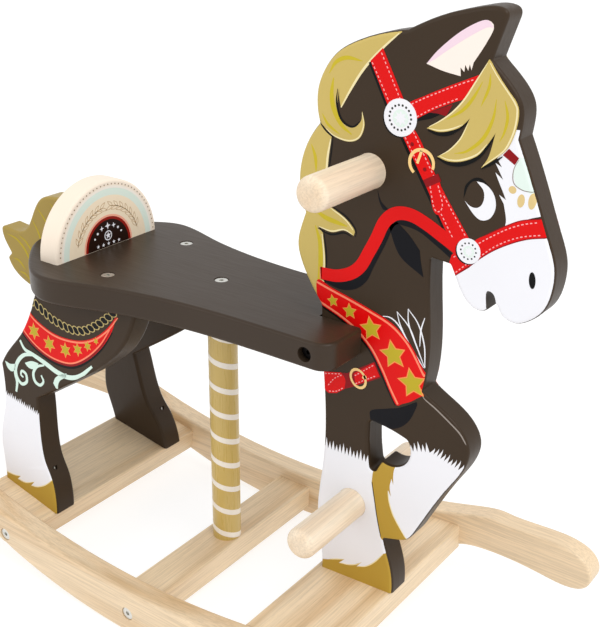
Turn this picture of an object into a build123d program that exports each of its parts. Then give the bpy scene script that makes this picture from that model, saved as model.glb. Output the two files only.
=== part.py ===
from build123d import *
import os
from math import asin, cos, degrees, radians, sin, sqrt, tan

os.makedirs("parts", exist_ok=True)

# Wooden rocking horse. Two curved rockers carry three cross pieces; a flat profiled board in the
# middle makes the head, neck and front legs, two leaning boards make the haunches and rear legs,
# and a seat board with a backrest joins them over a turned centre pole.
# Frame: +X towards the nose, +Y towards the horse's left side, +Z up. The origin is on the floor,
# below the middle of the rockers. All lengths are in millimetres.

# ---- driving dimensions --------------------------------------------------------------------
BOARD = 24.8             # thickness of the profiled boards, planks, seat and backrest
ROUND = 3.0              # round-over along the edges of the boards
DOWEL_D = 28.0           # centre pole, handle and footrest
FIT = 0.1                # radial clearance round every fastener and dowel pin

TRACK = 117.8            # inner face of each rocker, from the centre plane
ROCKER_T = 23.0          # thickness of a rocker
ROCKER_HALF = 366.0      # half the length of a rocker
RUN_X, RUN_R = 28.0, 560.0             # lowest point and radius of the running edge
BACK_X, BACK_Z, BACK_R = 20.0, 46.0, 807.0   # lowest point and radius of the upper edge

PLANK_W = 80.0           # width of the front and rear planks
PLANK_SCREWS = 20.0      # each plank's bolts and screws, either side of its middle
REAR_EDGE, REAR_TILT = (-119.5, 46.6), 11.0  # front top edge (x, z), and rise to the rear, degrees
FRONT_EDGE, FRONT_TILT = (229.5, 60.0), 3.0  # front top edge (x, z), and rise to the front
BAR_W, BAR_TOP = 40.4, 34.0            # middle bar: width, and height of its top
BAR_X = 27.0

SEAT_TOP = 310.0
SEAT_UNDER = SEAT_TOP - BOARD
SEAT_REAR = -190.0
SEAT_FRONT = 191.0
SLOT_X = 148.5           # rear end of the slot that straddles the front board
ARM_Y = 61.0             # outer side of the seat's front arms

POLE_X = 30.0
SOCKET = 7.0             # depth of the pole's sockets in the middle bar and the seat

LEAN = 6.2               # inward lean of the haunch boards, degrees
HAUNCH_Z = 51.0          # height at which the haunch boards' middle plane is HAUNCH_Y out
HAUNCH_Y = 80.4

BACKREST_X = -114.6      # front face
BACKREST_R = 67.0
TAIL_GAP = 0.3           # the tail stands this far behind the seat's rear edge

HANDLE = (194.0, 443.6)  # x and z of the handle's axis
FOOTREST = (187.0, 139.0)
GRIP_LENGTH = 188.0      # handle and footrest, end to end
GRIP_ROUND = 7.0         # rounding of their ends
GRIP_LAND_D = 28.4       # their slightly thicker middle, glued in the front board's bore

HEAD_D, HEAD_H = 13.0, 2.6             # flat bolt head
SHANK_D = 6.0
ROCKER_BOLT_L = 46.0
HEX = 4.0                # across the flats of the bolts' sockets
NUT_D, NUT_L = 10.0, 16.0              # barrel nut
PIN_D, PIN_L = 8.0, 38.0               # wooden dowel pin
SCREW_HEAD_D, SCREW_D = 10.0, 6.0      # countersunk wood screw


# ---- outlines ------------------------------------------------------------------------------
# Each outline is a closed chain of runs. A run of two points is a straight line, a longer one is
# a smooth curve through its points, and two runs meet in a corner.
FRONT_BOARD_RUNS = [
    [(152.5, 44), (154.5, 72), (150, 102), (149.5, 130), (153, 160), (155.5, 195),
     (154.5, 235), (151, 285), (149.5, 321)],                               # back of the leg
    [(149.5, 321), (139, 335), (129, 353), (124.5, 369), (127, 384), (132, 398)],   # low mane
    [(132, 398), (127, 411), (125.5, 427), (130.5, 451), (138, 465), (145, 474)],
    [(145, 474), (142, 488), (143, 503), (149, 517), (160, 530.5), (178, 541),
     (199, 548.5), (221, 553)],                                             # top curl of the mane
    [(221, 553), (238, 561.5), (258, 569), (276, 573.5), (291, 575.2), (297.5, 573),
     (298.5, 566)],                                                         # ear
    [(298.5, 566), (289.5, 539)],
    [(289.5, 539), (300, 529.5), (310, 519), (315.5, 509), (316.3, 498), (315, 487)],
    [(315, 487), (322, 472), (332, 449), (344, 420), (351.5, 399), (351.5, 382),
     (345.5, 364), (336, 354.5), (325, 349.5), (315.5, 351.5), (309.5, 361)],  # nose and lip
    [(309.5, 361), (299, 353)],                                             # across the mouth
    [(299, 353), (291, 352.5), (282, 358.5), (274, 371.5), (268, 383.5)],   # lower jaw
    [(268, 383.5), (250.5, 385)],
    [(250.5, 385), (252, 345), (254.3, 310), (253.5, 288), (250.5, 269.5)],  # front of the neck
    [(250.5, 269.5), (262, 262.5), (277, 254), (289.5, 243), (296, 228), (294, 215),
     (280, 188.5), (263.5, 158), (251.5, 134), (245.5, 124.5), (238, 119.5)],  # thigh and knee
    [(238, 119.5), (220.5, 114.5)],                                         # sole of the raised hoof
    [(220.5, 114.5), (225, 100), (230, 84), (232, 70), (229, 44)],          # front of the leg
    [(229, 44), (152.5, 44)],
]
MOUTH_RUNS = [           # the slot of the mouth, open at the bottom
    [(311, 357), (308.3, 364), (304.5, 370), (301.7, 370.5), (300, 363), (299, 349)],
    [(299, 349), (311, 349)],
    [(311, 349), (311, 357)],
]
LEG_WINDOW_RUNS = [      # the opening between the standing leg and the raised one
    [(201.5, 226.5), (201, 210), (202.5, 190), (207, 166)],
    [(207, 166), (211.5, 184), (216, 192)],
    [(216, 192), (229, 191.5), (238, 197.5), (242.3, 208), (238.5, 220)],
    [(238.5, 220), (221, 224.5), (201.5, 226.5)],
]
HAUNCH_RUNS = [
    [(-198, 35), (-199, 83), (-202.5, 105), (-196, 145), (-198, 172), (-201, 186)],  # back of the leg
    [(-201, 186), (-191, 202), (-171.5, 225), (-157, 252), (-145, 300)],    # rump
    [(-145, 300), (-13, 300)],
    [(-13, 300), (-19.5, 271), (-32, 247), (-56, 223.5), (-84, 203.5), (-112, 185),
     (-146, 163)],                                                          # belly edge
    [(-146, 163), (-143, 140), (-139, 112), (-134, 97), (-126, 84), (-120, 68), (-118, 35)],
    [(-118, 35), (-198, 35)],
]
TAIL_RUNS = [
    [(-139.4, 350.5), (-160, 352.5), (-180, 351), (-196, 346.5), (-206, 336), (-214, 322),
     (-223, 309.5), (-235, 303.5), (-248, 303), (-262, 304.5)],
    [(-262, 304.5), (-262.5, 297), (-258, 286), (-251, 276)],
    [(-251, 276), (-257, 270.5)],
    [(-257, 270.5), (-250.5, 259), (-239, 250.5), (-225, 245), (-208, 240), (-190, 236)],
    [(-190, 236), (-180, 236)],
    [(-180, 236), (-139.4, 300)],
    [(-139.4, 300), (-139.4, 350.5)],
]
SEAT_HALF = [            # left half of the seat's outline (x, y), from the middle of the rear edge
    (SEAT_REAR, 0), (-186, 29), (-169, 53), (-150, 71.5), (-130, 87), (-108, 95.5),
    (-84, 93), (-48, 81.5), (-8, 71.5), (36, 64.8), (82, 61.8), (130, ARM_Y),
]
ARM_CORNER = 15.0        # radius of the seat's front corners


def closed_face(runs, outer=3.6, inner=1.5):
    """The face inside a closed chain of runs, with its outer and inner corners rounded."""
    edges = [Line(*run) if len(run) == 2 else Spline(*run) for run in runs]
    face = make_face(Wire(edges).edges())
    for corner in [Vector(*vertex) for vertex in face.vertices()]:
        probe = Pos(*corner) * Circle(0.4)
        filled = sum(piece.area for piece in (face & probe).faces()) / probe.area
        vertex = face.vertices().sort_by_distance(corner)[0]
        face = fillet(vertex, outer if filled < 0.49 else inner)
    return face


def flat_board(face, thickness=BOARD):
    """An upright board in the XZ plane, centred on y = 0."""
    return extrude(Plane.XZ * face, thickness / 2, both=True)


def rounded(board, axis=Axis.Y, radius=ROUND):
    """Round the edges of a board's two flat faces."""
    faces = board.faces().sort_by(axis)
    return fillet(faces[0].edges() + faces[-1].edges(), radius)


def rod(radius, start, end):
    """A cylinder between two points."""
    axis = Vector(*end) - Vector(*start)
    plane = Plane(origin=start, z_dir=axis)
    return plane * Cylinder(radius, axis.length, align=(Align.CENTER, Align.CENTER, Align.MIN))


def at(place, *solids):
    """The solids of one group, each moved to the same place."""
    return [place * solid for solid in solids]


# ---- fasteners -----------------------------------------------------------------------------
# Each is made pointing along -Z with the outside of its head at z = 0, and comes with the hole
# that it needs.
UP = (Align.CENTER, Align.CENTER, Align.MAX)


def bolt(length, recess=1.0):
    """A flat-headed furniture bolt with a hexagon socket, sunk by recess."""
    head = fillet(Cylinder(HEAD_D / 2, HEAD_H, align=UP).edges().group_by(Axis.Z)[-1], 0.8)
    shank = Cylinder(SHANK_D / 2, length, align=UP)
    socket = extrude(RegularPolygon(HEX / 2, 6, major_radius=False), -HEAD_H * 0.8)
    hole = Cylinder(HEAD_D / 2 + FIT, HEAD_H + recess, align=UP)
    hole += Cylinder(SHANK_D / 2 + FIT, length + recess + 2, align=UP)
    return Pos(0, 0, -recess) * (head + shank - socket), hole


def wood_screw(length):
    """A countersunk wood screw with a cross recess and a pointed tip."""
    cone = Pos(0, 0, 0) * Cone(SCREW_D / 2, SCREW_HEAD_D / 2, SCREW_HEAD_D / 2 - SCREW_D / 2, align=UP)
    tip = 6.0
    shank = Cylinder(SCREW_D / 2, length - tip, align=UP)
    point = Pos(0, 0, tip - length) * Cone(0.6, SCREW_D / 2, tip, align=UP)
    cross = Box(SCREW_HEAD_D * 0.5, 1.2, 3.2) + Box(1.2, SCREW_HEAD_D * 0.5, 3.2)
    grown = Cone(SCREW_D / 2 + FIT, SCREW_HEAD_D / 2 + FIT, SCREW_HEAD_D / 2 - SCREW_D / 2, align=UP)
    hole = grown + Cylinder(SCREW_D / 2 + FIT, length + 1, align=UP)
    return cone + shank + point - cross, hole


def barrel_nut():
    """A cross dowel nut: its own axis along Z, its thread along Y."""
    body = Cylinder(NUT_D / 2, NUT_L)
    slot = Pos(0, 0, NUT_L / 2) * Box(1.2, NUT_D, 2.4)
    thread = rod(SHANK_D / 2 + FIT / 2, (0, -NUT_D, 0), (0, NUT_D, 0))
    return body - thread - slot


def dowel_pin(start, end):
    """A wooden dowel pin with chamfered ends, and its hole."""
    pin = rod(PIN_D / 2, start, end)
    pin = chamfer(pin.edges().filter_by(GeomType.CIRCLE), 1.0)
    return pin, rod(PIN_D / 2 + FIT / 2, start, end)


# ---- the base ------------------------------------------------------------------------------
def circle_z(x, centre_x, radius, low):
    """Height of an arc that is lowest, at low, at centre_x."""
    return low + radius - sqrt(radius ** 2 - (x - centre_x) ** 2)


def rocker_face():
    """A bow with an arc for its running edge and another on top, and drooping rounded tips."""
    run = [(x, circle_z(x, RUN_X, RUN_R, 0)) for x in (-180, RUN_X, 232)]
    back = [(x, circle_z(x, BACK_X, BACK_R, BACK_Z)) for x in (235, BACK_X, -215)]

    def slope(point, centre_x, radius):
        return tan(asin((point[0] - centre_x) / radius))

    front_tip = Spline(
        run[-1], (262, 43.6), (290, 43.4), (320, 40.4), (345, 38.8), (360, 44), (ROCKER_HALF, 57),
        (361, 70), (346, 78.5), (318, 81), (276, 80), back[0],
        tangents=[(1, slope(run[-1], RUN_X, RUN_R)), (-1, -slope(back[0], BACK_X, BACK_R))])
    rear_tip = Spline(
        back[-1], (-250, 87.5), (-300, 88.5), (-342, 85.5), (-359, 78), (-ROCKER_HALF, 66),
        (-359, 53.5), (-342, 47.6), (-312, 47.4), (-278, 49.4), (-240, 50.5), run[0],
        tangents=[(-1, -slope(back[-1], BACK_X, BACK_R)), (1, slope(run[0], RUN_X, RUN_R))])
    return make_face(Wire([ThreePointArc(*run), front_tip, ThreePointArc(*back), rear_tip]).edges())


def cross_piece(width, bolt_x, edge_round=2.0):
    """A plank in its own frame (top at z = 0, middle at x = 0) with its bolts, nuts and holes."""
    board = Pos(0, 0, -BOARD / 2) * Box(width, 2 * TRACK, BOARD)
    board = fillet(board.edges().filter_by(Axis.Y), edge_round)
    bolts, nuts, holes = [], [], []
    for x in bolt_x:
        for side in (-1, 1):
            spot = Pos(x, side * (TRACK + ROCKER_T), -BOARD / 2) * Rot(-90 * side, 0, 0)
            one, hole = bolt(ROCKER_BOLT_L)
            bolts.append(spot * one)
            holes.append(spot * hole)
            nut_at = Pos(x, side * (TRACK + ROCKER_T - ROCKER_BOLT_L + 8), -BOARD / 2)
            nuts.append(nut_at * barrel_nut())
            board -= nut_at * Pos(0, 0, NUT_L / 2 + FIT) * Cylinder(NUT_D / 2 + FIT, BOARD, align=UP)
    for hole in holes:
        board -= hole
    return board, bolts, nuts, holes


rear_place = Pos(REAR_EDGE[0], 0, REAR_EDGE[1]) * Rot(0, REAR_TILT, 0) * Pos(-PLANK_W / 2, 0, 0)
front_place = Pos(FRONT_EDGE[0], 0, FRONT_EDGE[1]) * Rot(0, -FRONT_TILT, 0) * Pos(-PLANK_W / 2, 0, 0)
bar_place = Pos(BAR_X, 0, BAR_TOP)

nodes = {}
bolts, nuts, bolt_holes = [], [], []
pair = (-PLANK_SCREWS, PLANK_SCREWS)
for name, place, width, spread in (("rear_plank", rear_place, PLANK_W, pair),
                                   ("middle_bar", bar_place, BAR_W, (0,)),
                                   ("front_plank", front_place, PLANK_W, pair)):
    board, own_bolts, own_nuts, own_holes = cross_piece(width, spread)
    nodes[name] = place * board
    bolts += at(place, *own_bolts)
    nuts += at(place, *own_nuts)
    bolt_holes += at(place, *own_holes)
nodes["rocker_bolts_right"] = Compound([b for b in bolts if b.center().Y < 0])
nodes["rocker_bolts_left"] = Compound([b for b in bolts if b.center().Y > 0])
nodes["plank_barrel_nuts"] = Compound(nuts)

# Two pins keep the middle bar, which has only one bolt at each end, from turning.
bar_pins = []
for side in (-1, 1):
    end_y = side * TRACK
    pin, hole = dowel_pin((BAR_X - 12, end_y - side * PIN_L * 0.65, BAR_TOP - BOARD / 2),
                          (BAR_X - 12, end_y + side * PIN_L * 0.35, BAR_TOP - BOARD / 2))
    bar_pins.append(pin)
    bolt_holes.append(hole)
    nodes["middle_bar"] -= hole
nodes["middle_bar_pins"] = Compound(bar_pins)

profile = rocker_face()
for name, side in (("rocker_right", -1), ("rocker_left", 1)):
    rocker = Pos(0, side * (TRACK + ROCKER_T / 2), 0) * rounded(flat_board(profile, ROCKER_T))
    for hole in bolt_holes:
        rocker -= hole
    nodes[name] = rocker

# ---- the front board, handle and footrest ----------------------------------------------------
front_top = Plane(origin=(FRONT_EDGE[0], 0, FRONT_EDGE[1]),
                  z_dir=(-sin(radians(FRONT_TILT)), 0, cos(radians(FRONT_TILT))))
rear_top = Plane(origin=(REAR_EDGE[0], 0, REAR_EDGE[1]),
                 z_dir=(sin(radians(REAR_TILT)), 0, cos(radians(REAR_TILT))))

front_board = flat_board(closed_face(FRONT_BOARD_RUNS) - closed_face(LEG_WINDOW_RUNS))
front_board = rounded(front_board)
mouth = make_face(Wire([Line(*run) if len(run) == 2 else Spline(*run) for run in MOUTH_RUNS]).edges())
front_board -= extrude(Plane.XZ * mouth, BOARD, both=True)     # sawn in last, with sharp edges
front_board = split(front_board, bisect_by=front_top, keep=Keep.TOP)

for name, (x, z) in (("handle", HANDLE), ("footrest", FOOTREST)):
    half = GRIP_LENGTH / 2
    grip = rod(DOWEL_D / 2, (x, -half, z), (x, half, z))
    land = rod(GRIP_LAND_D / 2, (x, -BOARD / 2, z), (x, BOARD / 2, z))
    nodes[name] = fillet(grip.edges().filter_by(GeomType.CIRCLE), GRIP_ROUND) + land
    front_board -= rod(GRIP_LAND_D / 2, (x, -half, z), (x, half, z))

front_screws = []
for x in pair:
    screw, hole = wood_screw(72)
    spot = front_place * Pos(x, 0, -BOARD) * Rot(180, 0, 0)
    front_screws.append(spot * screw)
    front_board -= spot * hole
    nodes["front_plank"] -= spot * hole
nodes["front_foot_screws"] = Compound(front_screws)

# ---- the haunch boards -----------------------------------------------------------------------
def haunch(side):
    """One haunch board, leaning inward, cut off level with the rear plank and the seat."""
    stretch = 1 / cos(radians(LEAN))
    runs = [[(x, (z - HAUNCH_Z) * stretch) for x, z in run] for run in HAUNCH_RUNS]
    board = rounded(flat_board(closed_face(runs)))
    board = Pos(0, side * HAUNCH_Y, HAUNCH_Z) * Rot(side * LEAN, 0, 0) * board
    board = split(board, bisect_by=rear_top, keep=Keep.TOP)
    return split(board, bisect_by=Plane.XY.offset(SEAT_UNDER), keep=Keep.BOTTOM)


SEAT_BOLT_X, SEAT_BOLT_Y, SEAT_BOLT_L = -61.0, 54.0, 62.0
seat_holes, seat_bolts, haunch_nuts = [], [], []
for name, side in (("right", -1), ("left", 1)):
    board = haunch(side)
    one, hole = bolt(SEAT_BOLT_L, recess=0.6)
    spot = Pos(SEAT_BOLT_X, side * SEAT_BOLT_Y, SEAT_TOP)
    seat_bolts.append(spot * one)
    seat_holes.append(spot * hole)
    nut_at = Pos(SEAT_BOLT_X, side * SEAT_BOLT_Y, SEAT_TOP - SEAT_BOLT_L + 8) * Rot(-90 * side, 0, 0)
    haunch_nuts.append(nut_at * barrel_nut())
    board -= nut_at * Pos(0, 0, NUT_L / 2 + FIT) * Cylinder(NUT_D / 2 + FIT, BOARD, align=UP)
    board -= spot * hole
    screws = []
    for x in pair:
        screw, screw_hole = wood_screw(66)
        spot = rear_place * Pos(x, side * (HAUNCH_Y - 1), -BOARD) * Rot(180, 0, 0)
        screws.append(spot * screw)
        board -= spot * screw_hole
        nodes["rear_plank"] -= spot * screw_hole
    nodes[f"haunch_board_{name}"] = board
    nodes[f"rear_foot_screws_{name}"] = Compound(screws)
nodes["seat_bolts"] = Compound(seat_bolts)
nodes["haunch_barrel_nuts"] = Compound(haunch_nuts)

# ---- the seat --------------------------------------------------------------------------------
def seat_board():
    """A waisted board with a round rear end and a fork at the front."""
    waist = [(x, -y) for x, y in SEAT_HALF[:0:-1]] + SEAT_HALF
    arm_end, corner = SEAT_HALF[-1], (SEAT_FRONT, ARM_Y)
    other_end, other_corner = (arm_end[0], -ARM_Y), (SEAT_FRONT, -ARM_Y)
    front = [Line(arm_end, corner), Line(corner, other_corner), Line(other_corner, other_end)]
    face = make_face(Wire([Spline(*waist), *front]).edges())
    for point in (corner, other_corner):
        face = fillet(face.vertices().sort_by_distance(point)[0], ARM_CORNER)
    board = rounded(Pos(0, 0, SEAT_UNDER) * extrude(face, BOARD), Axis.Z)
    slot = Box(SEAT_FRONT + 10 - SLOT_X, BOARD + 0.6, 3 * BOARD)
    return board - Pos((SLOT_X + SEAT_FRONT + 10) / 2, 0, SEAT_UNDER) * slot


seat = seat_board()
for hole in seat_holes:
    seat -= hole

# ---- the centre pole -------------------------------------------------------------------------
pole = rod(DOWEL_D / 2, (POLE_X, 0, BAR_TOP - SOCKET), (POLE_X, 0, SEAT_UNDER + SOCKET))
nodes["middle_bar"] -= rod(DOWEL_D / 2, (POLE_X, 0, BAR_TOP - SOCKET), (POLE_X, 0, BAR_TOP + 10))
seat -= rod(DOWEL_D / 2, (POLE_X, 0, SEAT_UNDER - 10), (POLE_X, 0, SEAT_UNDER + SOCKET))

INSERT_D, INSERT_L = 12.0, 20.0
top_bolt, hole = bolt(40, recess=0.6)
spot = Pos(POLE_X, 0, SEAT_TOP)
nodes["pole_top_bolt"] = spot * top_bolt
seat -= spot * hole
pole -= spot * hole
insert_at = Pos(POLE_X, 0, SEAT_UNDER + SOCKET)
pole -= insert_at * Cylinder(INSERT_D / 2, INSERT_L, align=UP)
insert = Cylinder(INSERT_D / 2, INSERT_L, align=UP) - Cylinder(SHANK_D / 2 + FIT / 2, INSERT_L, align=UP)
nodes["pole_insert"] = insert_at * insert

screw, hole = wood_screw(60)
spot = Pos(POLE_X, 0, BAR_TOP - BOARD) * Rot(180, 0, 0)
nodes["pole_bottom_screw"] = spot * screw
nodes["middle_bar"] -= spot * hole
nodes["centre_pole"] = pole - spot * hole

# ---- the cross bolt through the seat's arms and the front board --------------------------------
CROSS = (168.0, SEAT_TOP - BOARD / 2)
SINK = 6.0               # how far the bolt's head and its nut lie inside the arms
cross_length = 2 * (ARM_Y - SINK) - 12
spot = Pos(CROSS[0], -ARM_Y, CROSS[1]) * Rot(90, 0, 0)
one, hole = bolt(cross_length, recess=SINK)
nodes["seat_cross_bolt"] = spot * one
nut_head = Cylinder(HEAD_D / 2, HEAD_H, align=UP) + Cylinder(5.0, 30, align=UP)
nut_head -= Cylinder(SHANK_D / 2 + FIT / 2, 40, align=UP)
nut_hole = Cylinder(HEAD_D / 2 + FIT, SINK + HEAD_H, align=UP)
nut_hole += Cylinder(5.0 + FIT, SINK + 30, align=UP)
nut_spot = Pos(CROSS[0], ARM_Y, CROSS[1]) * Rot(-90, 0, 0)
nodes["seat_cross_nut"] = nut_spot * Pos(0, 0, -SINK) * nut_head
seat = seat - spot * hole - nut_spot * nut_hole
front_board = front_board - spot * hole

# ---- the backrest and tail -------------------------------------------------------------------
disc = Circle(BACKREST_R) - Pos(0, -BACKREST_R) * Rectangle(3 * BACKREST_R, 2 * BACKREST_R)
backrest = extrude(Plane.YZ * disc, -BOARD)
backrest = Pos(BACKREST_X, 0, SEAT_TOP) * backrest
curved = backrest.edges().filter_by(GeomType.CIRCLE)
backrest = fillet(curved, ROUND)
backrest_pins, backrest_screws = [], []
middle_x = BACKREST_X - BOARD / 2
for side in (-1, 1):
    pin, hole = dowel_pin((middle_x, side * 44, SEAT_TOP - 17), (middle_x, side * 44, SEAT_TOP + PIN_L - 17))
    backrest_pins.append(pin)
    backrest -= hole
    seat -= hole
    screw, hole = wood_screw(60)
    spot = Pos(middle_x, side * 22, SEAT_UNDER) * Rot(180, 0, 0)
    backrest_screws.append(spot * screw)
    backrest -= spot * hole
    seat -= spot * hole
nodes["backrest_pins"] = Compound(backrest_pins)
nodes["backrest_screws"] = Compound(backrest_screws)

notch_x = SEAT_REAR - TAIL_GAP
notch = Pos(notch_x + 50, 0, SEAT_TOP - 60) * Box(100, 2 * BOARD, 120)
tail = rounded(flat_board(closed_face(TAIL_RUNS))) - notch
tail_pins = []
for start, end in (((BACKREST_X - BOARD + 18, 0, 332), (BACKREST_X - BOARD - 20, 0, 332)),
                   ((SEAT_REAR + 20, 0, CROSS[1]), (SEAT_REAR - 18, 0, CROSS[1]))):
    pin, hole = dowel_pin(start, end)
    tail_pins.append(pin)
    tail -= hole
    seat -= hole
    backrest -= hole
nodes["tail_pins"] = Compound(tail_pins)

nodes["front_board"] = front_board
nodes["seat"] = seat
nodes["backrest"] = backrest
nodes["tail"] = tail

for name, shape in nodes.items():
    export_step(shape, f"parts/{name}.step")
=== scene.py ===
from math import atan2, cos, degrees, pi, radians, sin

import bmesh
import bpy
from mathutils import Matrix, Vector
from mathutils.bvhtree import BVHTree


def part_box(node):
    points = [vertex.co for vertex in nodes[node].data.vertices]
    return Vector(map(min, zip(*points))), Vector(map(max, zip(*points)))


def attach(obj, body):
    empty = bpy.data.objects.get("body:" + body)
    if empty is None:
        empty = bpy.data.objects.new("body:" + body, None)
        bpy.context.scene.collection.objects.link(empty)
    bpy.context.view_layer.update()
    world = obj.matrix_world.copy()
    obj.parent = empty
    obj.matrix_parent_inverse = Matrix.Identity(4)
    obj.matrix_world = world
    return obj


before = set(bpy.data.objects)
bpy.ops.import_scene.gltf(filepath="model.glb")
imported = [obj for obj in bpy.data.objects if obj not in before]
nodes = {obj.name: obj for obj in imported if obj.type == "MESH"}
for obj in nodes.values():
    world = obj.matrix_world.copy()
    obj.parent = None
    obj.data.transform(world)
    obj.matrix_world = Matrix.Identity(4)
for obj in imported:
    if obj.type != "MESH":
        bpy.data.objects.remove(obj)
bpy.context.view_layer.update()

MM = 0.001


# ---------------------------------------------------------------- materials
def srgb(r, g, b):
    """An sRGB colour given as 0..255, as linear values."""
    def linear(c):
        c /= 255
        return c / 12.92 if c <= 0.04045 else ((c + 0.055) / 1.055) ** 2.4
    return (linear(r), linear(g), linear(b), 1.0)


def dyed(r, g, b):
    """The base colour that shows as the given one under the studio light."""
    return tuple(max(0.0, (c - 0.012) / 1.07) for c in srgb(r, g, b)[:3]) + (1.0,)


def new_material(name, colour, roughness, coat=0.0):
    """A principled material, and its node tree and shader."""
    mat = bpy.data.materials.new(name)
    mat.use_nodes = True
    tree = mat.node_tree
    shader = tree.nodes["Principled BSDF"]
    shader.inputs["Base Color"].default_value = colour
    shader.inputs["Roughness"].default_value = roughness
    shader.inputs["Coat Weight"].default_value = coat
    shader.inputs["Coat Roughness"].default_value = 0.25
    mat.diffuse_color = colour
    return mat, tree, shader


def add(tree, kind, **settings):
    """A new node, its sockets and properties set by name."""
    node = tree.nodes.new(kind)
    for key, value in settings.items():
        if key in node.inputs:
            node.inputs[key].default_value = value
        else:
            setattr(node, key, value)
    return node


def scaled_position(tree, scale):
    """The place in the row frame, scaled."""
    place = add(tree, "ShaderNodeTexCoord")
    mapping = add(tree, "ShaderNodeMapping", Scale=scale)
    tree.links.new(place.outputs["Object"], mapping.inputs["Vector"])
    return mapping.outputs["Vector"]


def noise(tree, scale, detail=4.0, roughness=0.55, distortion=0.0, value=1.0):
    node = add(tree, "ShaderNodeTexNoise", Scale=value, Detail=detail, Roughness=roughness,
               Distortion=distortion)
    tree.links.new(scaled_position(tree, scale), node.inputs["Vector"])
    return node.outputs["Fac"]


def ramp(tree, factor, *stops):
    """A colour ramp over a factor."""
    node = add(tree, "ShaderNodeValToRGB")
    elements = node.color_ramp.elements
    while len(elements) < len(stops):
        elements.new(0.5)
    for element, (place, colour) in zip(elements, stops):
        element.position = place
        element.color = colour
    tree.links.new(factor, node.inputs["Fac"])
    return node.outputs["Color"]


def mix(tree, kind, factor, a, b):
    node = add(tree, "ShaderNodeMix", data_type="RGBA", blend_type=kind)
    for socket, value in ((node.inputs["Factor"], factor), (node.inputs[6], a), (node.inputs[7], b)):
        if hasattr(value, "links"):
            tree.links.new(value, socket)
        else:
            socket.default_value = value
    return node.outputs[2]


def bump(tree, shader, height, strength, distance):
    node = add(tree, "ShaderNodeBump", Strength=strength, Distance=distance)
    tree.links.new(height, node.inputs["Height"])
    tree.links.new(node.outputs["Normal"], shader.inputs["Normal"])


def grey(v):
    return (v, v, v, 1.0)


def stretched(axis, along, across):
    """Noise scales for a grain along one axis, 0, 1 or 2."""
    return tuple(along if i == axis else across for i in range(3))


def wood(name, light, dark, axis, coat=0.1, contrast=1.0):
    """Pale varnished wood with its grain along an axis."""
    mat, tree, shader = new_material(name, light, 0.42, coat)
    broad = noise(tree, stretched(axis, 2.2, 34), 3.0, 0.5, 0.6)
    base = ramp(tree, broad, (0.30, dark), (0.52, light), (0.78, tuple(min(1, c * 1.07) for c in light)))
    fibre = noise(tree, stretched(axis, 14, 640), 3.0, 0.6)
    lines = ramp(tree, fibre, (0.36, grey(1 - 0.20 * contrast)), (0.60, grey(1.0)))
    colour = mix(tree, "MULTIPLY", 0.85, base, lines)
    pores = noise(tree, stretched(axis, 60, 1900), 2.0, 0.6)
    specks = ramp(tree, pores, (0.28, grey(1 - 0.24 * contrast)), (0.40, grey(1.0)))
    colour = mix(tree, "MULTIPLY", 0.8, colour, specks)
    tree.links.new(colour, shader.inputs["Base Color"])
    gloss = ramp(tree, fibre, (0.3, grey(0.52)), (0.7, grey(0.38)))
    tree.links.new(gloss, shader.inputs["Roughness"])
    bump(tree, shader, fibre, 0.12, 0.0004)
    return mat


def paint(name, colour, axis=2, roughness=0.38, grain=0.05, coat=0.0, vary=0.05, gloss=0.16):
    """Sprayed satin paint over a board, with a trace of the grain under it."""
    mat, tree, shader = new_material(name, colour, roughness, coat)
    shader.inputs["Specular IOR Level"].default_value = gloss
    cloud = noise(tree, (9, 9, 9), 3.0, 0.5)
    low = tuple(c * (1 - vary) for c in colour[:3]) + (1.0,)
    high = tuple(min(1, c * (1 + vary)) for c in colour[:3]) + (1.0,)
    tree.links.new(ramp(tree, cloud, (0.3, low), (0.7, high)), shader.inputs["Base Color"])
    grain_noise = noise(tree, stretched(axis, 25, 520), 3.0, 0.6)
    spread = ramp(tree, grain_noise, (0.3, grey(roughness + 0.06)), (0.7, grey(roughness - 0.04)))
    tree.links.new(spread, shader.inputs["Roughness"])
    bump(tree, shader, grain_noise, grain, 0.0003)
    return mat


def metal(name, colour, roughness):
    """Brushed metal with a fine grain."""
    mat, tree, shader = new_material(name, colour, roughness)
    shader.inputs["Metallic"].default_value = 1.0
    fine = noise(tree, (900, 900, 900), 2.0)
    tree.links.new(ramp(tree, fine, (0.3, grey(roughness + 0.08)), (0.7, grey(roughness - 0.06))),
                   shader.inputs["Roughness"])
    bump(tree, shader, fine, 0.05, 0.0001)
    return mat


LIGHT, DARK = srgb(228, 203, 168), srgb(208, 174, 130)
wood_x = wood("pale_wood_x", LIGHT, DARK, 0)
wood_y = wood("pale_wood_y", srgb(229, 205, 170), srgb(212, 180, 138), 1)
dowel_y = wood("dowel_wood_y", srgb(238, 221, 196), srgb(226, 200, 168), 1, 0.1, 0.8)
brown = paint("brown_paint", srgb(56, 43, 30), 2, 0.38)
# The seat's copy of the brown paint has its grain along x, and its colour is a touch lighter and greyer than
# the boards' brown: a painted sheen of the light on the seat's top.
brown_seat_sheen = paint("brown_paint_seat", srgb(56, 44, 33), 0, 0.36, gloss=0.22)
cream = paint("cream_paint", srgb(234, 219, 201), 1, 0.38, vary=0.02)
gold_tail = paint("gold_paint_tail", srgb(156, 133, 66), 0, 0.34)
gold_pole = paint("gold_paint_pole", srgb(194, 166, 94), 2, 0.28, gloss=0.5)
steel = metal("screw_steel", srgb(215, 214, 208), 0.32)
black_steel = metal("black_steel", srgb(38, 36, 36), 0.40)

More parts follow.
